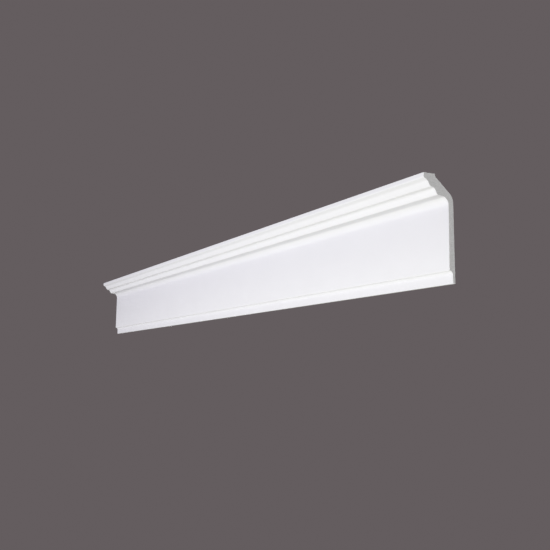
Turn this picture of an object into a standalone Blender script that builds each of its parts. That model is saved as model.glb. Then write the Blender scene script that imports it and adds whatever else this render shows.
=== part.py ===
"""One length of cornice moulding.

The moulding is a single piece of hard foam with a smooth white skin, cut square at both ends.
Down its face it has a stepped crown, a broad hollow, a plain fascia and a thin lower band.
Behind the crown the back slants away, which leaves two flats for glue: the top and the lower back.

Metres, +Z up. The run lies along X, the flat of the lower back is the plane Y = 0, the face looks
towards -Y, and the origin is the middle of that flat.
"""

import math

import bmesh
import bpy
from mathutils import Vector

# The whole length.
RUN = 1.500
HEIGHT = 0.150
PROJECTION = 0.051

# The crown's flat top, and the lip at its front.
TOP_FLAT = 0.0197
LIP_DROP = 0.0068
LIP_ROUND = 0.0027

# Two steps under the lip. Each is a tread that runs back into a hollow, then a leaning riser that
# comes down to a nose. Treads and risers are given as how far they run back and how far they fall.
STEPS = (
    {"tread": (0.0060, 0.0034), "hollow": 0.0066, "riser": (0.0055, 0.0085), "nose": 0.0030},
    {"tread": (0.0065, 0.0008), "hollow": 0.0064, "riser": (0.0052, 0.0096), "nose": 0.0026},
)

# The soffit falls this much to the broad hollow at the head of the fascia.
SOFFIT_FALL = 0.0017
SOFFIT_HOLLOW = 0.0120

# The fascia leans out slightly towards its foot.
FASCIA_HEAD_THICKNESS = 0.0084
FASCIA_FOOT_THICKNESS = 0.0100
FASCIA_FOOT_DROP = 0.1320
FASCIA_FOOT_ROUND = 0.0012

# The band below the fascia is set back under a small hollow.
BAND_THICKNESS = 0.0044
BAND_HEAD_DROP = 0.1332
BAND_HOLLOW = 0.0058

# The slanting back, from a short upright behind the top flat to the flat of the lower back.
SLANT_HEAD_DROP = 0.0037
SLANT_HEAD_OUT = 0.0308
SLANT_HEAD_ROUND = 0.0044
SLANT_FOOT_DROP = 0.0298
SLANT_FOOT_ROUND = 0.0170

ARC_STEP = math.radians(5)
SMOOTH_BELOW = math.radians(20)

SKIN_COLOUR = (0.90, 0.90, 0.91, 1.0)
SKIN_ROUGHNESS = 0.5
CORE_COLOUR = (0.42, 0.42, 0.42, 1.0)
CORE_ROUGHNESS = 0.9
CORE_SLOT = 1


def clear_scene():
    for obj in list(bpy.data.objects):
        bpy.data.objects.remove(obj, do_unlink=True)


def plain_material(name, colour, roughness):
    material = bpy.data.materials.new(name)
    material.use_nodes = True
    shader = material.node_tree.nodes["Principled BSDF"]
    shader.inputs["Base Color"].default_value = colour
    shader.inputs["Roughness"].default_value = roughness
    shader.inputs["Metallic"].default_value = 0.0
    return material


def face_corners():
    """The face from the lip down to the band, as (point, radius). A point is (out from the flat
    of the lower back, drop below the top)."""
    out = PROJECTION
    drop = LIP_DROP
    corners = [(Vector((out, 0.0)), 0.0), (Vector((out, drop)), LIP_ROUND)]
    for step in STEPS:
        for part, end in (("tread", "hollow"), ("riser", "nose")):
            back, fall = step[part]
            out -= back
            drop += fall
            corners.append((Vector((out, drop)), step[end]))
    corners.append((Vector((FASCIA_HEAD_THICKNESS, drop + SOFFIT_FALL)), SOFFIT_HOLLOW))
    corners.append((Vector((FASCIA_FOOT_THICKNESS, FASCIA_FOOT_DROP)), FASCIA_FOOT_ROUND))
    corners.append((Vector((BAND_THICKNESS, BAND_HEAD_DROP)), BAND_HOLLOW))
    corners.append((Vector((BAND_THICKNESS, HEIGHT)), 0.0))
    return corners


def back_corners():
    """The back from the foot of its flat up to the top flat, as (point, radius)."""
    return [
        (Vector((0.0, HEIGHT)), 0.0),
        (Vector((0.0, SLANT_FOOT_DROP)), SLANT_FOOT_ROUND),
        (Vector((SLANT_HEAD_OUT, SLANT_HEAD_DROP)), SLANT_HEAD_ROUND),
        (Vector((PROJECTION - TOP_FLAT, 0.0)), 0.0),
    ]


def arc(before, corner, after, radius):
    """The points of the arc that rounds a corner between its two straight sides."""
    to_before = (before - corner).normalized()
    to_after = (after - corner).normalized()
    half_angle = to_before.angle(to_after) / 2
    cut_back = radius / math.tan(half_angle)
    centre = corner + (to_before + to_after).normalized() * (radius / math.sin(half_angle))
    first = corner + to_before * cut_back - centre
    last = corner + to_after * cut_back - centre
    turn = first.angle(last)
    pieces = max(2, math.ceil(turn / ARC_STEP))
    points = []
    for n in range(pieces + 1):
        turned = turn * n / pieces
        spoke = first * math.sin(turn - turned) + last * math.sin(turned)
        points.append(centre + spoke / math.sin(turn))
    return points


def rounded(corners):
    """The closed outline through the corners, with an arc at each one that has a radius."""
    outline = []
    for i, (corner, radius) in enumerate(corners):
        if radius == 0.0:
            outline.append(corner)
            continue
        before = corners[i - 1][0]
        after = corners[(i + 1) % len(corners)][0]
        outline.extend(arc(before, corner, after, radius))
    return outline


def back_flat_middle():
    """How far below the top the middle of the flat of the lower back lies."""
    foot, corner, head = (point for point, radius in back_corners()[:3])
    flat_head = arc(foot, corner, head, SLANT_FOOT_ROUND)[0]
    return (flat_head.y + HEIGHT) / 2


def moulding_mesh(name, skin, core):
    """The section drawn at one end and carried along the run, with the core showing on both ends."""
    top = back_flat_middle()
    built = bmesh.new()
    section = [
        built.verts.new((-RUN / 2, -point.x, top - point.y))
        for point in rounded(face_corners() + back_corners())
    ]
    drawn_end = built.faces.new(section)
    carried = bmesh.ops.extrude_face_region(built, geom=[drawn_end])
    moved = [item for item in carried["geom"] if isinstance(item, bmesh.types.BMVert)]
    bmesh.ops.translate(built, verts=moved, vec=(RUN, 0.0, 0.0))
    bmesh.ops.recalc_face_normals(built, faces=built.faces)
    ends = [face for face in built.faces if abs(face.normal.x) > 0.5]
    for face in ends:
        face.material_index = CORE_SLOT
    bmesh.ops.triangulate(built, faces=ends)

    mesh = bpy.data.meshes.new(name)
    built.to_mesh(mesh)
    built.free()
    mesh.materials.append(skin)
    mesh.materials.append(core)
    mesh.shade_smooth()
    mesh.set_sharp_from_angle(angle=SMOOTH_BELOW)
    return mesh


def main():
    clear_scene()
    skin = plain_material("smooth_skin", SKIN_COLOUR, SKIN_ROUGHNESS)
    core = plain_material("sawn_core", CORE_COLOUR, CORE_ROUGHNESS)
    moulding = bpy.data.objects.new(
        "cornice_moulding", moulding_mesh("cornice_moulding", skin, core)
    )
    bpy.context.scene.collection.objects.link(moulding)


main()
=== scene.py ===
import math
import random

import bpy
import numpy as np
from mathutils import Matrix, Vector, geometry, noise


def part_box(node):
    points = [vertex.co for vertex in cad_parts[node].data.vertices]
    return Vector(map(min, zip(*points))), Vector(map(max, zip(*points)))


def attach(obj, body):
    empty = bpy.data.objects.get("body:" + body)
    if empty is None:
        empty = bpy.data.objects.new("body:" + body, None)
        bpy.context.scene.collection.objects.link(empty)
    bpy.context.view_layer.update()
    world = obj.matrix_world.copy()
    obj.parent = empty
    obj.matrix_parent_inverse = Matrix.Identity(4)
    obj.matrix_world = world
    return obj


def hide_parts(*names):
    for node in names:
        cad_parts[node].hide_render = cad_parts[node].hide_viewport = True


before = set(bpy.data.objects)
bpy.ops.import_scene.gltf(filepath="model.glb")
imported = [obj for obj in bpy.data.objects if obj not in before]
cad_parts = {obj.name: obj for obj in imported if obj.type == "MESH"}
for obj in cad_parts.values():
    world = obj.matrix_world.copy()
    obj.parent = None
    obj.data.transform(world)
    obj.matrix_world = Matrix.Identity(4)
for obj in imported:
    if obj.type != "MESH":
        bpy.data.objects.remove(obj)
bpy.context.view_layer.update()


# The moulded length. One piece of hard foam, pushed hot through a die that gives it its section,
# so every line of it runs dead straight. The face and the underside carry a thin white primer,
# the back and the top keep the bare foam skin, and both ends are sawn square.

node_low, node_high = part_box("cornice_moulding")
HALF_RUN = node_high.x
TOP = node_high.z
HEIGHT = node_high.z - node_low.z
PROJECTION = node_high.y - node_low.y

TOP_FLAT = 0.0197
LIP_DROP = 0.0068
LIP_ROUND = 0.0027
STEPS = (
    {"tread": (0.0060, 0.0034), "hollow": 0.0066, "riser": (0.0055, 0.0085), "nose": 0.0030},
    {"tread": (0.0065, 0.0008), "hollow": 0.0064, "riser": (0.0052, 0.0096), "nose": 0.0026},
)
SOFFIT_FALL = 0.0017
SOFFIT_HOLLOW = 0.0120
FASCIA_HEAD_THICKNESS = 0.0084
FASCIA_FOOT_THICKNESS = 0.0100
FASCIA_FOOT_DROP = 0.1320
FASCIA_FOOT_ROUND = 0.0012
BAND_THICKNESS = 0.0044
BAND_HEAD_DROP = 0.1332
BAND_HOLLOW = 0.0058
SLANT_HEAD_DROP = 0.0037
SLANT_HEAD_OUT = 0.0308
SLANT_HEAD_ROUND = 0.0044
SLANT_FOOT_DROP = 0.0298
SLANT_FOOT_ROUND = 0.0170

# The die leaves this round on the arrises that have no larger round of their own. Rounds are
# drawn in steps of about this turn, in fewer where the pieces would be shorter than the chord,
# and in no fewer than the least.
DIE_ARRIS = 0.0005
DIE_STEP = math.radians(3)
DIE_CHORD = 0.0001
DIE_PIECES = 3

PRIMED, BARE, CORE = range(3)


def section_corners():
    """The section as (point, radius, surface of the stretch after it), from the top of the lip
    down the face and up the back. A point is (out from the flat back, drop below the top)."""
    out = PROJECTION
    drop = LIP_DROP
    corners = [((out, 0.0), DIE_ARRIS, PRIMED), ((out, drop), LIP_ROUND, PRIMED)]
    for step in STEPS:
        for part, end in (("tread", "hollow"), ("riser", "nose")):
            back, fall = step[part]
            out -= back
            drop += fall
            corners.append(((out, drop), step[end], PRIMED))
    corners.append(((FASCIA_HEAD_THICKNESS, drop + SOFFIT_FALL), SOFFIT_HOLLOW, PRIMED))
    corners.append(((FASCIA_FOOT_THICKNESS, FASCIA_FOOT_DROP), FASCIA_FOOT_ROUND, PRIMED))
    corners.append(((BAND_THICKNESS, BAND_HEAD_DROP), BAND_HOLLOW, PRIMED))
    corners.append(((BAND_THICKNESS, HEIGHT), DIE_ARRIS, PRIMED))
    corners.append(((0.0, HEIGHT), DIE_ARRIS, BARE))
    corners.append(((0.0, SLANT_FOOT_DROP), SLANT_FOOT_ROUND, BARE))
    corners.append(((SLANT_HEAD_OUT, SLANT_HEAD_DROP), SLANT_HEAD_ROUND, BARE))
    corners.append(((PROJECTION - TOP_FLAT, 0.0), DIE_ARRIS, BARE))
    return [(Vector(point), radius, surface) for point, radius, surface in corners]


def arc(before, corner, after, radius):
    """The points of the arc that rounds a corner between its two straight sides."""
    to_before = (before - corner).normalized()
    to_after = (after - corner).normalized()
    half_angle = to_before.angle(to_after) / 2
    cut_back = radius / math.tan(half_angle)
    centre = corner + (to_before + to_after).normalized() * (radius / math.sin(half_angle))
    first = corner + to_before * cut_back - centre
    last = corner + to_after * cut_back - centre
    turn = first.angle(last)
    by_turn = math.ceil(turn / DIE_STEP)
    by_chord = math.ceil(radius * turn / DIE_CHORD)
    pieces = max(DIE_PIECES, min(by_turn, by_chord))
    points = []
    for n in range(pieces + 1):
        turned = turn * n / pieces
        spoke = first * math.sin(turn - turned) + last * math.sin(turned)
        points.append(centre + spoke / math.sin(turn))
    return points


def die_outline():
    """The closed outline of the die: its points, and the surface of the stretch after each."""
    corners = section_corners()
    points, surfaces = [], []
    for i, (corner, radius, surface) in enumerate(corners):
        before, _, coming = corners[i - 1]
        after = corners[(i + 1) % len(corners)][0]
        bend = arc(before, corner, after, radius)
        points.extend(bend)
        surfaces.extend([min(coming, surface)] * (len(bend) - 1) + [surface])
    return points, surfaces


# The saw cut: how far its edge is eased, how thick the white skin shows on it, and the grain of
# the foam, as open cells of two sizes and the faint slanting ridges that the teeth of the saw
# leave. Each end is cut this many cells from the middle of one and the same grain.
SAW_EASE = 0.00015
SKIN_THICKNESS = 0.0004
GRAIN_SPACING = 0.0004
GRAIN_SHAKE = 0.3
GRAIN_SEED = 3
SMALL_CELL = 0.0007
SMALL_CELL_DEPTH = 0.00010
LARGE_CELL = 0.0019
LARGE_CELL_DEPTH = 0.00008
CELLS_TO_END = 7.0
SAW_PITCH = 0.0016
SAW_SLANT = 0.2
SAW_RIDGE = 0.00003

# The mesh: rings of points along the run, how near two points of the cut fall together, the
# mark that keeps only what lies inside the cut's outline, and the angle that stays sharp.
STATIONS = 60
SAME_POINT = 1e-7
KEEP_INSIDE = 1
SHARP_FROM = math.radians(40)


def inset(points, distance):
    """The outline drawn again this far inside itself."""
    moved = []
    for i, point in enumerate(points):
        came = (point - points[i - 1]).normalized()
        goes = (points[(i + 1) % len(points)] - point).normalized()
        outward = Vector((came.y + goes.y, -came.x - goes.x))
        moved.append(point - outward * (distance / (1 + came.dot(goes))))
    return moved


def clear_of(points, outline, distance):
    """The points that lie at least this far from the outline."""
    starts = np.array(outline)
    sides = np.roll(starts, -1, axis=0) - starts
    lengths = (sides**2).sum(axis=1)
    kept = []
    for point in points:
        away = np.array(point) - starts
        share = np.clip((away * sides).sum(axis=1) / lengths, 0, 1)
        nearest = ((away - sides * share[:, None]) ** 2).sum(axis=1).min()
        if nearest > distance**2:
            kept.append(point)
    return kept


def grain_points(outline):
    """Points over the whole cut, in rows at the grain's spacing, each shaken a little."""
    shake = random.Random(GRAIN_SEED)
    found = []
    for row in range(1, round(HEIGHT / GRAIN_SPACING)):
        drop = row * GRAIN_SPACING
        crossings = []
        for i, end in enumerate(outline):
            start = outline[i - 1]
            if (start.y > drop) != (end.y > drop):
                share = (drop - start.y) / (end.y - start.y)
                crossings.append(start.x + (end.x - start.x) * share)
        crossings.sort()
        for low, high in zip(crossings[::2], crossings[1::2]):
            count = round((high - low) / GRAIN_SPACING)
            for n in range(1, count):
                out = low + (high - low) * (n + shake.uniform(-GRAIN_SHAKE, GRAIN_SHAKE)) / count
                shaken = shake.uniform(-GRAIN_SHAKE, GRAIN_SHAKE) * GRAIN_SPACING
                found.append(Vector((out, drop + shaken)))
    return clear_of(found, outline, GRAIN_SPACING / 2)


def grain_depth(out, drop, end):
    """How deep the sawn foam lies at a point of the cut, with its own pattern on each end."""
    strokes = (drop + out * SAW_SLANT) / SAW_PITCH
    depth = SAW_RIDGE * (1 + math.sin(math.tau * strokes)) / 2
    for size, deepest in ((SMALL_CELL, SMALL_CELL_DEPTH), (LARGE_CELL, LARGE_CELL_DEPTH)):
        place = Vector((out / size, drop / size, CELLS_TO_END * end))
        nearest, second = noise.voronoi(place)[0][:2]
        depth += deepest * min(1.0, second - nearest)
    return depth


def moulded_length(name):
    """The section carried along the run, closed at each end by its sawn, grained cut."""
    outline, surfaces = die_outline()
    count = len(outline)
    eased = inset(outline, SAW_EASE)
    core_edge = inset(outline, SKIN_THICKNESS)
    grains = grain_points(core_edge)
    flat, _, cut_faces, came_from, _, _ = geometry.delaunay_2d_cdt(
        core_edge + grains, [], [list(range(count))], KEEP_INSIDE, SAME_POINT
    )
    places, faces, looks = [], [], []

    def ring(x, section):
        """Adds the points of one ring and returns the number of its first."""
        places.extend((x, -point.x, TOP - point.y) for point in section)
        return len(places) - len(section)

    def band(low, high, marks):
        """Adds the faces between two rings. Low is the ring towards the far end."""
        for i in range(count):
            after = (i + 1) % count
            faces.append((low + i, low + after, high + after, high + i))
            looks.append(marks[i])

    body = HALF_RUN - SAW_EASE
    rings = [ring(-body + 2 * body * n / STATIONS, outline) for n in range(STATIONS + 1)]
    for low, high in zip(rings, rings[1:]):
        band(low, high, surfaces)
    edge_looks = [PRIMED if surface == PRIMED else CORE for surface in surfaces]
    for end, body_ring in ((-1, rings[0]), (1, rings[-1])):
        eased_ring = ring(end * HALF_RUN, eased)
        core_ring = ring(end * HALF_RUN, core_edge)
        for inner, outer, marks in (
            (eased_ring, body_ring, surfaces),
            (core_ring, eased_ring, edge_looks),
        ):
            band(*((inner, outer) if end < 0 else (outer, inner)), marks)
        numbers = []
        for point, sources in zip(flat, came_from):
            edge = [source for source in sources if source < count]
            if edge:
                numbers.append(core_ring + edge[0])
                continue
            numbers.append(len(places))
            depth = grain_depth(point.x, point.y, end)
            places.append((end * (HALF_RUN - depth), -point.x, TOP - point.y))
        for face in cut_faces:
            corners = [numbers[n] for n in face]
            faces.append(corners if end > 0 else corners[::-1])
            looks.append(CORE)

    mesh = bpy.data.meshes.new(name)
    mesh.from_pydata(places, [], faces)
    mesh.polygons.foreach_set("material_index", looks)
    mesh.shade_smooth()
    mesh.set_sharp_from_angle(angle=SHARP_FROM)
    mesh.validate()
    moulding = bpy.data.objects.new(name, mesh)
    bpy.context.scene.collection.objects.link(moulding)
    return moulding


# The finishes. All are nodes that read the piece's own coordinates. Colours and numbers run over
# these stretches of a noise, whose values bunch round a half.
RAMP_FROM_TO = (0.3, 0.7)
SPREAD_FROM_TO = (0.25, 0.75)


def new_finish(name):
    """A new material, its nodes and links, its shader, and the piece's own coordinates."""
    finish = bpy.data.materials.new(name)
    finish.use_nodes = True
    nodes, links = finish.node_tree.nodes, finish.node_tree.links
    place = nodes.new("ShaderNodeTexCoord").outputs["Object"]
    return finish, nodes, links, nodes["Principled BSDF"], place


def clouds(nodes, links, place, size, detail=3.0, stretch=(1.0, 1.0, 1.0)):
    """A soft noise whose spots are about this size, in metres, drawn out by stretch."""
    mapping = nodes.new("ShaderNodeMapping")
    mapping.inputs["Scale"].default_value = [1 / (size * s) for s in stretch]
    links.new(place, mapping.inputs["Vector"])
    texture = nodes.new("ShaderNodeTexNoise")
    texture.inputs["Scale"].default_value = 1.0
    texture.inputs["Detail"].default_value = detail
    links.new(mapping.outputs["Vector"], texture.inputs["Vector"])
    return texture.outputs["Fac"]


def ramp(nodes, links, factor, low, high):
    """A colour that goes from low to high over the middle of the factor's range."""
    colours = nodes.new("ShaderNodeValToRGB")
    first, last = colours.color_ramp.elements
    first.position, last.position = RAMP_FROM_TO
    first.color, last.color = low, high
    links.new(factor, colours.inputs["Fac"])
    return colours.outputs["Color"]


def spread(nodes, links, factor, low, high):
    """A number that goes from low to high over the middle of the factor's range."""
    spreader = nodes.new("ShaderNodeMapRange")
    spreader.inputs["From Min"].default_value = SPREAD_FROM_TO[0]
    spreader.inputs["From Max"].default_value = SPREAD_FROM_TO[1]
    spreader.inputs["To Min"].default_value = low
    spreader.inputs["To Max"].default_value = high
    links.new(factor, spreader.inputs["Value"])
    return spreader.outputs["Result"]


def bump(nodes, links, height, distance, strength, below=None):
    """The normals of a fine relief of this height, laid over the relief below it."""
    relief = nodes.new("ShaderNodeBump")
    relief.inputs["Distance"].default_value = distance
    relief.inputs["Strength"].default_value = strength
    links.new(height, relief.inputs["Height"])
    if below is not None:
        links.new(below, relief.inputs["Normal"])
    return relief.outputs["Normal"]


# Primer: a thin, even white, between matt and satin, with a very fine stipple from the spray and
# still finer straight lines from the die under it. Its white is greyer on the lip and the treads
# than on the risers, and far greyer on the soffit. It greys down the broad hollow too, is greyest
# at the head of the fascia, and lightens again to the fascia's foot. This is partly thinner primer
# and partly painted shade, darker in the recesses of the crown and on the face just under it.
# Where it is greyer it is also a shade cooler.
# The thin white is both thin primer and painted shade; each cover below mixes it with the thick
# white, and a lower cover paints in more shade.
PRIMER_THICK_LIT = (0.89, 0.89, 0.885)
PRIMER_THIN_SHADED = (0.75, 0.745, 0.765)
LIP_COVER_AND_LIGHT = 0.6
TREAD_COVER_AND_LIGHT = 0.7
RISER_COVER_AND_LIGHT = 0.8
SOFFIT_COVER_AND_LIGHT = 0.3
HOLLOW_COVER_AND_LIGHT = 0.8
FASCIA_HEAD_COVER_AND_LIGHT = 0.2
FASCIA_FOOT_COVER_AND_LIGHT = 0.9
BAND_COVER_AND_LIGHT = 0.7
COVER_AND_LIGHT_EASE = 0.0003
PRIMER_CLOUD = 0.006
PRIMER_CLOUD_SIZE = 0.09
PRIMER_SHINE_SPOTS = 0.02
PRIMER_ROUGHNESS = (0.42, 0.56)
PRIMER_STIPPLE = 0.0012
PRIMER_STIPPLE_HEIGHT = 0.00002
PRIMER_STIPPLE_STRENGTH = 0.6
DIE_LINE_PITCH = 0.0007
DIE_LINE_STRETCH = 900.0
DIE_LINE_HEIGHT = 0.00001
DIE_LINE_STRENGTH = 0.5


def primer_white_with_painted_shade(cover_and_light):
    """The colour of the primer where it covers this well; a lower cover also paints in shade."""
    mixed = [thin + (thick - thin) * cover_and_light for thin, thick in zip(PRIMER_THIN_SHADED, PRIMER_THICK_LIT)]
    return (*mixed, 1.0)


def cover_and_painted_shade_down_face():
    """How well the primer covers, as (drop below the top, cover), a little inside the head and the
    foot of each member; a lower cover is greyer and partly painted shade. A member is (how far it
    falls, cover at its head, cover at its foot)."""
    members = [(LIP_DROP, LIP_COVER_AND_LIGHT, LIP_COVER_AND_LIGHT)]
    for step in STEPS:
        members.append((step["tread"][1], TREAD_COVER_AND_LIGHT, TREAD_COVER_AND_LIGHT))
        members.append((step["riser"][1], RISER_COVER_AND_LIGHT, RISER_COVER_AND_LIGHT))
    # The soffit, the foot of the broad hollow and the head of the fascia are greyest: partly thin
    # primer, partly painted shade under the crown.
    members.append((SOFFIT_FALL, SOFFIT_COVER_AND_LIGHT, SOFFIT_COVER_AND_LIGHT))
    members.append((SOFFIT_HOLLOW, HOLLOW_COVER_AND_LIGHT, FASCIA_HEAD_COVER_AND_LIGHT))
    fascia_head = sum(fall for fall, _, _ in members)
    members.append((FASCIA_FOOT_DROP - fascia_head, FASCIA_HEAD_COVER_AND_LIGHT, FASCIA_FOOT_COVER_AND_LIGHT))
    members.append((HEIGHT - FASCIA_FOOT_DROP, BAND_COVER_AND_LIGHT, BAND_COVER_AND_LIGHT))
    drop = 0.0
    covers_and_lights = []
    for fall, at_head, at_foot in members:
        covers_and_lights.append((drop + COVER_AND_LIGHT_EASE, at_head))
        drop += fall
        covers_and_lights.append((drop - COVER_AND_LIGHT_EASE, at_foot))
    return covers_and_lights


def primer_colour_and_painted_shade(nodes, links, place):
    """The primer's white down the face, by the drop below the top, with a little cloud, and greyer
    where shade is painted into it.
    """
    split = nodes.new("ShaderNodeSeparateXYZ")
    links.new(place, split.inputs["Vector"])
    drop = nodes.new("ShaderNodeMapRange")
    drop.inputs["From Min"].default_value = TOP
    drop.inputs["From Max"].default_value = TOP - HEIGHT
    links.new(split.outputs["Z"], drop.inputs["Value"])
    whites = nodes.new("ShaderNodeValToRGB")
    stops = whites.color_ramp.elements
    covers_and_lights = cover_and_painted_shade_down_face()
    while len(stops) < len(covers_and_lights):
        stops.new(1.0)
    for stop, (at_drop, cover_and_light) in zip(stops, covers_and_lights):
        stop.position = at_drop / HEIGHT
        stop.color = primer_white_with_painted_shade(cover_and_light)
    links.new(drop.outputs["Result"], whites.inputs["Fac"])
    cloud = clouds(nodes, links, place, PRIMER_CLOUD_SIZE, detail=4.0)
    clouded = nodes.new("ShaderNodeHueSaturation")
    links.new(whites.outputs["Color"], clouded.inputs["Color"])
    value = spread(nodes, links, cloud, 1 - PRIMER_CLOUD, 1 + PRIMER_CLOUD)
    links.new(value, clouded.inputs["Value"])
    return clouded.outputs["Color"]


def primer_finish():
    finish, nodes, links, shader, place = new_finish("white_primer")
    links.new(primer_colour_and_painted_shade(nodes, links, place), shader.inputs["Base Color"])
    spots = clouds(nodes, links, place, PRIMER_SHINE_SPOTS)
    links.new(spread(nodes, links, spots, *PRIMER_ROUGHNESS), shader.inputs["Roughness"])
    along = (DIE_LINE_STRETCH, 1.0, 1.0)
    die_lines = clouds(nodes, links, place, DIE_LINE_PITCH, stretch=along)
    lines = bump(nodes, links, die_lines, DIE_LINE_HEIGHT, DIE_LINE_STRENGTH)
    stipple = clouds(nodes, links, place, PRIMER_STIPPLE, detail=2.0)
    relief = bump(
        nodes, links, stipple, PRIMER_STIPPLE_HEIGHT, PRIMER_STIPPLE_STRENGTH, below=lines
    )
    links.new(relief, shader.inputs["Normal"])
    return finish


# Bare foam skin on the back and top: the light grey of the foam itself, dull, with faint
# lengthwise streaks and ridges, and fine pits.
BARE_LIGHT = (0.66, 0.66, 0.655, 1.0)
BARE_DARK = (0.60, 0.60, 0.595, 1.0)
BARE_STREAK = 0.006
BARE_STREAK_STRETCH = 40.0
BARE_SHINE_SPOTS = 0.03
BARE_ROUGHNESS = (0.62, 0.80)
BARE_RIDGE = 0.0015
BARE_RIDGE_STRETCH = 200.0
BARE_RIDGE_HEIGHT = 0.00003
BARE_RIDGE_STRENGTH = 0.5
BARE_PIT = 0.0010
BARE_PIT_DEPTH = 0.00006
BARE_PIT_STRENGTH = 0.6


def bare_finish():
    finish, nodes, links, shader, place = new_finish("bare_foam_skin")
    along = (BARE_STREAK_STRETCH, 1.0, 1.0)
    streaks = clouds(nodes, links, place, BARE_STREAK, detail=4.0, stretch=along)
    links.new(ramp(nodes, links, streaks, BARE_DARK, BARE_LIGHT), shader.inputs["Base Color"])
    spots = clouds(nodes, links, place, BARE_SHINE_SPOTS)
    links.new(spread(nodes, links, spots, *BARE_ROUGHNESS), shader.inputs["Roughness"])
    along = (BARE_RIDGE_STRETCH, 1.0, 1.0)
    ridges = clouds(nodes, links, place, BARE_RIDGE, stretch=along)
    lines = bump(nodes, links, ridges, BARE_RIDGE_HEIGHT, BARE_RIDGE_STRENGTH)
    pits = clouds(nodes, links, place, BARE_PIT)
    relief = bump(nodes, links, pits, BARE_PIT_DEPTH, BARE_PIT_STRENGTH, below=lines)
    links.new(relief, shader.inputs["Normal"])
    return finish


# Sawn foam: neutral light grey, dull, speckled by its open cells, with still finer pores.
CORE_LIGHT = (0.55, 0.55, 0.548, 1.0)
CORE_DARK = (0.42, 0.42, 0.418, 1.0)
CORE_SPECKLE = 0.0016
CORE_ROUGHNESS = (0.85, 0.95)
CORE_PORE = 0.0005
CORE_PORE_DEPTH = 0.00006
CORE_PORE_STRENGTH = 0.8


def core_finish():
    finish, nodes, links, shader, place = new_finish("sawn_foam_core")
    speckle = clouds(nodes, links, place, CORE_SPECKLE, detail=4.0)
    links.new(ramp(nodes, links, speckle, CORE_DARK, CORE_LIGHT), shader.inputs["Base Color"])
    links.new(spread(nodes, links, speckle, *CORE_ROUGHNESS), shader.inputs["Roughness"])
    pores = clouds(nodes, links, place, CORE_PORE, detail=2.0)
    relief = bump(nodes, links, pores, CORE_PORE_DEPTH, CORE_PORE_STRENGTH)
    links.new(relief, shader.inputs["Normal"])
    return finish


moulding = moulded_length("moulded_length")
for finish in (primer_finish(), bare_finish(), core_finish()):
    moulding.data.materials.append(finish)
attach(moulding, "root")
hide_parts("cornice_moulding")


# The floor. A plain pale studio floor, well below the moulding, as far down as it would be under
# a length that is fixed up. It fades out into the dusk of the studio before its rim, so it has no
# edge to see.

FLOOR_BELOW_TOP = 2.5
FLOOR_RADIUS = 10.0
FADE_START = 4.5
FADE_END = 9.5
FLOOR_SIDES = 96
FLOOR_LIGHT = (0.62, 0.61, 0.60, 1.0)
FLOOR_DARK = (0.58, 0.57, 0.56, 1.0)
FLOOR_CLOUD = 1.5
FLOOR_ROUGHNESS = 0.8


def fade_to_rim(nodes, links, shader, place):
    """Lets the surroundings through more and more between the start and the end of the fade."""
    distance = nodes.new("ShaderNodeVectorMath")
    distance.operation = "LENGTH"
    links.new(place, distance.inputs[0])
    fade = nodes.new("ShaderNodeMapRange")
    fade.interpolation_type = "SMOOTHERSTEP"
    fade.inputs["From Min"].default_value = FADE_START
    fade.inputs["From Max"].default_value = FADE_END
    links.new(distance.outputs["Value"], fade.inputs["Value"])
    clear = nodes.new("ShaderNodeBsdfTransparent")
    blend = nodes.new("ShaderNodeMixShader")
    links.new(fade.outputs["Result"], blend.inputs["Fac"])
    links.new(shader.outputs["BSDF"], blend.inputs[1])
    links.new(clear.outputs["BSDF"], blend.inputs[2])
    links.new(blend.outputs["Shader"], nodes["Material Output"].inputs["Surface"])


def studio_floor(name):
    mesh = bpy.data.meshes.new(name)
    corners = []
    for n in range(FLOOR_SIDES):
        turn = math.tau * n / FLOOR_SIDES
        corners.append((FLOOR_RADIUS * math.cos(turn), FLOOR_RADIUS * math.sin(turn), 0.0))
    mesh.from_pydata(corners, [], [list(range(FLOOR_SIDES))])
    floor = bpy.data.objects.new(name, mesh)
    floor.location.z = TOP - FLOOR_BELOW_TOP
    bpy.context.scene.collection.objects.link(floor)
    finish, nodes, links, shader, place = new_finish("pale_floor")
    broad = clouds(nodes, links, place, FLOOR_CLOUD)
    links.new(ramp(nodes, links, broad, FLOOR_DARK, FLOOR_LIGHT), shader.inputs["Base Color"])
    shader.inputs["Roughness"].default_value = FLOOR_ROUGHNESS
    fade_to_rim(nodes, links, shader, place)
    mesh.materials.append(finish)
    return floor


floor = studio_floor("studio_floor")


# The studio light. A large cool soft light stands straight in front of the moulding, a small warm
# one below its near half, one past each end and one above and behind. Barn doors keep them off
# the floor, which has a light of its own overhead. The studio beyond is a plain dusky grey.

DUSK = (0.127, 0.109, 0.114)
LAMP_WHITE = (0.985, 1.0, 1.0)
LAMP_COOL = (0.895, 0.895, 1.0)
LAMP_WARM = (0.95, 1.0, 0.80)


def lit_group(name, thing):
    """The group that a light is kept to."""
    group = bpy.data.collections.new(name)
    group.objects.link(thing)
    return group


moulding_group = lit_group("lit_moulding", moulding)
floor_group = lit_group("lit_floor", floor)


def soft_light(name, group, stands, aims, side, power, white=LAMP_WHITE):
    """A square soft light, in metres and watts, that lights one group. It isn't seen itself."""
    lamp = bpy.data.lights.new(name, "AREA")
    lamp.shape = "SQUARE"
    lamp.size = side
    lamp.energy = power
    lamp.color = white
    light = bpy.data.objects.new(name, lamp)
    light.location = stands
    light.rotation_euler = (Vector(aims) - Vector(stands)).to_track_quat("-Z", "Y").to_euler()
    light.visible_camera = False
    light.light_linking.receiver_collection = group
    bpy.context.scene.collection.objects.link(light)


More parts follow.
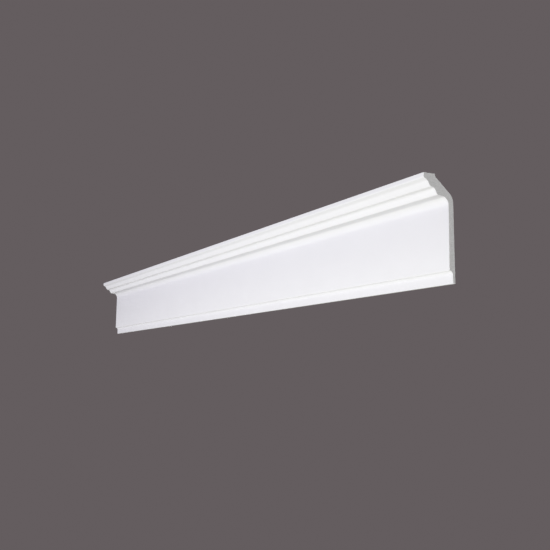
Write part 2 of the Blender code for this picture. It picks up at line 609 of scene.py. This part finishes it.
soft_light(
    "front_light",
    moulding_group,
    stands=(0.1, -3.2, -0.17),
    aims=(0.1, 0.0, 0.0),
    side=1.3,
    power=79.0,
    white=LAMP_COOL,
)
soft_light(
    "low_light",
    moulding_group,
    stands=(0.85, -1.38, -1.16),
    aims=(0.85, 0.0, 0.0),
    side=0.9,
    power=10.2,
    white=LAMP_WARM,
)
for name, end, power in (("near_end_light", 1, 41.0), ("far_end_light", -1, 37.0)):
    soft_light(
        name,
        moulding_group,
        stands=(end * 2.8, 1.0, 0.3),
        aims=(end * HALF_RUN, 0.0, 0.0),
        side=1.0,
        power=power,
    )
soft_light(
    "back_light",
    moulding_group,
    stands=(0.0, 2.2, 2.4),
    aims=(0.0, 0.0, 0.0),
    side=2.0,
    power=65.0,
)
soft_light(
    "floor_light",
    floor_group,
    stands=(0.0, 0.0, 2.4),
    aims=(0.0, 0.0, 0.0),
    side=4.0,
    power=210.0,
)

world = bpy.data.worlds.new("studio")
world.use_nodes = True
world.node_tree.nodes["Background"].inputs["Color"].default_value = (*DUSK, 1.0)
bpy.context.scene.world = world
bpy.context.scene.view_settings.view_transform = "Standard"


# The camera. It stands past the near end, in front of the moulding and below it, and looks up and
# back along the run. Its focal length is given in pixels of the square frame.

CAMERA_PLACE = (1.5774, -0.7294, TOP - 0.2730)
CAMERA_YAW = math.radians(28.51)
CAMERA_RISE = math.radians(7.17)
FRAME_PIXELS = 550
FOCAL_PIXELS = 794.0
SENSOR_WIDTH = 36.0

lens = bpy.data.cameras.new("view")
lens.sensor_width = SENSOR_WIDTH
lens.lens = SENSOR_WIDTH * FOCAL_PIXELS / FRAME_PIXELS
camera = bpy.data.objects.new("view", lens)
camera.location = CAMERA_PLACE
looks_along = Vector(
    (
        -math.cos(CAMERA_YAW) * math.cos(CAMERA_RISE),
        math.sin(CAMERA_YAW) * math.cos(CAMERA_RISE),
        math.sin(CAMERA_RISE),
    )
)
camera.rotation_euler = looks_along.to_track_quat("-Z", "Y").to_euler()
bpy.context.scene.collection.objects.link(camera)
bpy.context.scene.camera = camera
